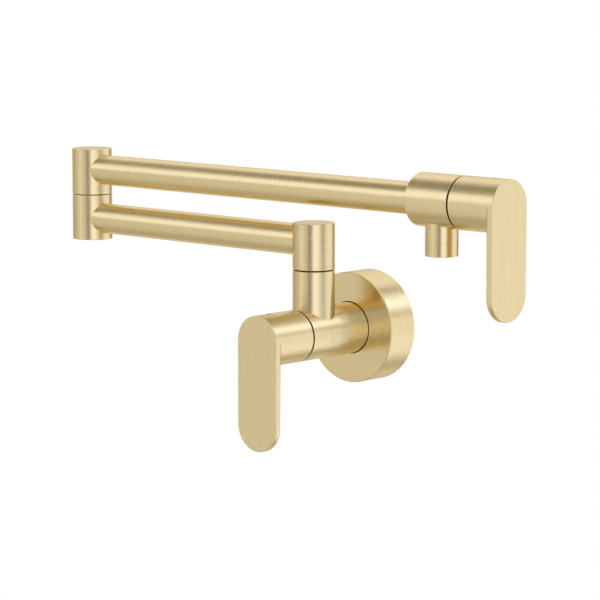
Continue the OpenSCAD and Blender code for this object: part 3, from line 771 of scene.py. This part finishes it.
finishes = {
    "raw_brass": grained("turned_brass", (0.78, 0.58, 0.27, 1), 0.32, metallic=1.0, grain=1500.0),
    "steel": grained("stainless", (0.60, 0.60, 0.62, 1), 0.30, metallic=1.0, grain=1500.0),
    "rubber": grained("black_rubber", (0.02, 0.02, 0.02, 1), 0.65),
    "acetal": grained("moulded_acetal", (0.80, 0.80, 0.77, 1), 0.45),
    "black_acetal": grained("black_acetal", (0.025, 0.024, 0.022, 1), 0.5),
    "ceramic": grained("lapped_ceramic", (0.86, 0.84, 0.79, 1), 0.12, grain=600.0, strength=0.02),
    "satin_brass": around_z,
}
for part in frame["record"]["subparts"]:
    node = frame["nodes"][part["node"]]
    node.data.materials.clear()
    node.data.materials.append(finishes[part["material_slot"]])

# %% [markdown]
# ## Studio
# Metal has no tone of its own: it shows the studio. A real one would hold a white backdrop with soft
# boxes and grey flags round the tap. Here the backdrop is the world, and each box or flag is a soft
# edged panel painted on it by bearing and height, which only mirrored rays see. A tube then shows them
# as long bands, the way a photographer lights a brushed cylinder.

# %% Directions in the world
world = bpy.data.worlds.new("studio")
bpy.context.scene.world = world
studio = Shader(world)
way = studio.node("TexCoord", output="Generated")
east, north, zenith = studio.node("SeparateXYZ", output=AXES, Vector=way)
bearing = north.maths("ARCTAN2", east)
height = zenith.maths("ARCSINE")

# %% Painting a panel
WHITE = (1, 1, 1, 1)
RED_OF_CAST, BLUE_OF_CAST = 0.1, 0.3
SOFTEST_LEVEL_EDGE = 8


def soft_edge(value, middle, width):
    """Rises smoothly from 0 to 1 over a width round a middle."""
    return smooth_step(value, middle - width / 2, middle + width / 2)


def tint(level, cast):
    """A grey with a warm cast where cast is above 0, and a cool one below."""
    return (level * (1 + RED_OF_CAST * cast), level, level * (1 - BLUE_OF_CAST * cast), 1)


def panel(under, centre, half, low, high, level, soft, cast=None):
    """Paints a panel over what is there. Angles are in degrees, bearings from +X towards +Y."""
    inner, outer = math.cos(math.radians(half - soft / 2)), math.cos(math.radians(half + soft / 2))
    nearness = (bearing - math.radians(centre)).maths("COSINE")
    sides = soft_edge(nearness, (inner + outer) / 2, inner - outer)
    width = math.radians(min(soft, SOFTEST_LEVEL_EDGE))
    bottom, top = [soft_edge(height, math.radians(angle), width) for angle in (low, high)]
    colour = tint(level, 1 - level if cast is None else cast)
    return mix_colours(studio, sides * bottom * (1 - top), under, colour)


# %% [markdown]
# Each panel has a bearing, half a width, a lower and an upper edge, a level beside the white backdrop
# and the softness of its edges. Dark flags look a little warm and bright boxes a little cool, unless
# a cast is given: the large fill cards in front are cool, which keeps the corners from glowing orange,
# where brass mirrors brass.

# %% Soft boxes and flags
PANELS = [
    (-62, 44, -80, 44, 0.76, 8, -1.2),
    (-145, 48, -80, 10, 0.68, 8),
    (-117, 7, -50, 12, 0.95, 8),
    (-92, 14, -50, 12, 0.72, 8),
    (182, 26, -50, 22, 0.54, 10),
    (132, 18, -40, 18, 0.76, 10),
    (90, 14, -25, 12, 0.40, 16),
    (6, 16, -50, 30, 0.70, 14, -0.3),
    (-69, 11, -36, 14, 0.34, 8),
    (-20, 7, -36, 14, 1.02, 8),
    (-38.5, 13.5, -36, 14, 1.22, 6),
    (-138, 18, 8, 29, 1.20, 7),
    (-80, 38, 40, 66, 0.50, 10, -1.0),
    (-145, 40, 35, 74, 0.29, 40),
    (60, 9, 22, 37, 1.70, 6),
    (51, 9, 11, 19, 0.54, 6),
    (80, 5, 33, 54, 0.20, 5),
    (55, 22, -44, -14, 1.08, 10),
    (85, 20, 58, 75, 0.30, 10),
    (96, 9, -46, -35, 0.45, 8),
]
GROUND_TOP, GROUND_EDGE = math.radians(-40.5), math.radians(6)
GROUND_LEVEL, GROUND_CAST = 0.5, 0.5

room = WHITE
for measures in PANELS:
    room = panel(room, *measures)
above_ground = soft_edge(height, GROUND_TOP, GROUND_EDGE)
room = mix_colours(studio, above_ground, tint(GROUND_LEVEL, GROUND_CAST), room)
print("studio:", len(PANELS), "panels")

# %% [markdown]
# The Light Path node tells what kind of ray asks. The camera sees a plain white backdrop, a mirrored
# ray sees the room with its panels, and all other light is an even grey.

# %% What each kind of ray sees
PLAIN_LIGHT = (0.62, 0.62, 0.62, 1)


def ray_kinds(shader):
    """1 for what the camera sees itself, and 1 for what is mirrored or seen through something."""
    straight, glossy, transmitted = shader.node(
        "LightPath", output=("Is Camera Ray", "Is Glossy Ray", "Is Transmission Ray"),
    )
    return straight, glossy + transmitted


seen, mirrored = ray_kinds(studio)
backdrop = mix_colours(studio, seen, room, WHITE)
shown = mix_colours(studio, (seen + mirrored).maths("MINIMUM", 1.0), PLAIN_LIGHT, backdrop)
background = studio.node("Background", Color=shown, Strength=1.0)
studio.node("OutputWorld", output=None, Surface=background)

# %% [markdown]
# ## Floor
# A pale floor lies well below the arm and keeps its shadow. It fades into the backdrop at its rim, so no
# edge shows. Mirrored rays pass it and find the studio's own ground, and so does a look from below,
# which lets the underside be seen.

# %% Floor
FLOOR_PALE = (0.9, 0.9, 0.9, 1)
floor_r, floor_place = 0.5, (0, -0.05, -0.36)
fade_from, fade_to = 0.30, 0.46

select_none()
bpy.ops.mesh.primitive_circle_add(vertices=96, radius=floor_r, fill_type="NGON", location=floor_place)
floor = bpy.context.object
floor.name = "floor"

# %% Floor material
floor_material = bpy.data.materials.new("pale_floor")
ground = Shader(floor_material)
spot = ground.node("TexCoord", output="Object")
from_middle = ground.node("VectorMath", {"operation": "LENGTH"}, output="Value", Vector=spot)
rim = smooth_step(from_middle, fade_from, fade_to)
floor_seen, floor_mirrored = ray_kinds(ground)
from_below = ground.node("NewGeometry", output="Backfacing")
see_through = (floor_seen * rim + floor_mirrored + from_below).maths("MINIMUM", 1.0)
pale = ground.node("BsdfDiffuse", Color=FLOOR_PALE)
clear = ground.node("BsdfTransparent", Color=WHITE)
surface = ground.node("MixShader", numbered={0: see_through, 1: pale, 2: clear})
ground.node("OutputMaterial", output=None, Surface=surface)
floor.data.materials.append(floor_material)
print(f"floor: Ø{2 * floor_r / MM:.0f} mm at a height of {floor.location.z / MM:.0f} mm")

# %% [markdown]
# ## Lamps
# Two large soft lamps stand on the bearings of two bright panels, a little higher. They light the floor
# and the plastic parts and throw the soft shadow, and stay out of the mirrored view, where the panels
# stand for them.

# %% Lamps
LAMP_DISTANCE, LAMP_LEVEL = 1.6, 3.0
aim = (cad_box[0] + cad_box[1]) / 2


def towards(azimuth, elevation):
    """A direction, as degrees from +X towards +Y and above the floor."""
    a, e = math.radians(azimuth), math.radians(elevation)
    return Vector((math.cos(a) * math.cos(e), math.sin(a) * math.cos(e), math.sin(e)))


def lamp(name, azimuth, elevation, width, length):
    """A soft box that faces the tap. Its power goes with its area, so both are equally bright."""
    light = bpy.data.lights.new(name, "AREA")
    light.shape, light.size, light.size_y = "RECTANGLE", width, length
    light.energy = LAMP_LEVEL * math.pi * width * length
    holder = bpy.data.objects.new(name, light)
    bpy.context.scene.collection.objects.link(holder)
    side = towards(azimuth, elevation)
    holder.location = aim + side * LAMP_DISTANCE
    holder.rotation_euler = side.to_track_quat("Z", "Y").to_euler()
    holder.visible_camera = holder.visible_glossy = False
    print(f"{name}: {light.energy:.1f} W")


lamp("front_left_box", -138, 35, 1.4, 0.8)
lamp("back_right_box", 60, 50, 0.9, 0.7)

# %% [markdown]
# ## Camera
# The photograph is a long-lens view from the right of the tap and a little above it. Its angle, pitch
# and focal length were fitted to the outlines of the tubes, the flange and the levers. The lens and the
# sensor are in millimetres, as Blender has them.

# %% Camera
turn_right, pitch_down = math.radians(42.872), math.radians(7.947)
camera_place = (1.13199, -1.28488, 0.25347)
focal, sensor = 169.33, 36.0
ahead = Vector((
    -math.sin(turn_right) * math.cos(pitch_down),
    math.cos(turn_right) * math.cos(pitch_down),
    -math.sin(pitch_down),
))

camera_data = bpy.data.cameras.new("camera")
camera_data.lens, camera_data.sensor_width, camera_data.sensor_fit = focal, sensor, "HORIZONTAL"
camera_data.clip_start, camera_data.clip_end = 0.05, 50
camera = bpy.data.objects.new("camera", camera_data)
bpy.context.scene.collection.objects.link(camera)
camera.location = camera_place
camera.rotation_euler = ahead.to_track_quat("-Z", "Y").to_euler()
bpy.context.scene.camera = camera
bpy.context.scene.view_settings.view_transform = "Standard"
print(f"camera: {(camera.location - aim).length:.2f} m from the middle of the tap")
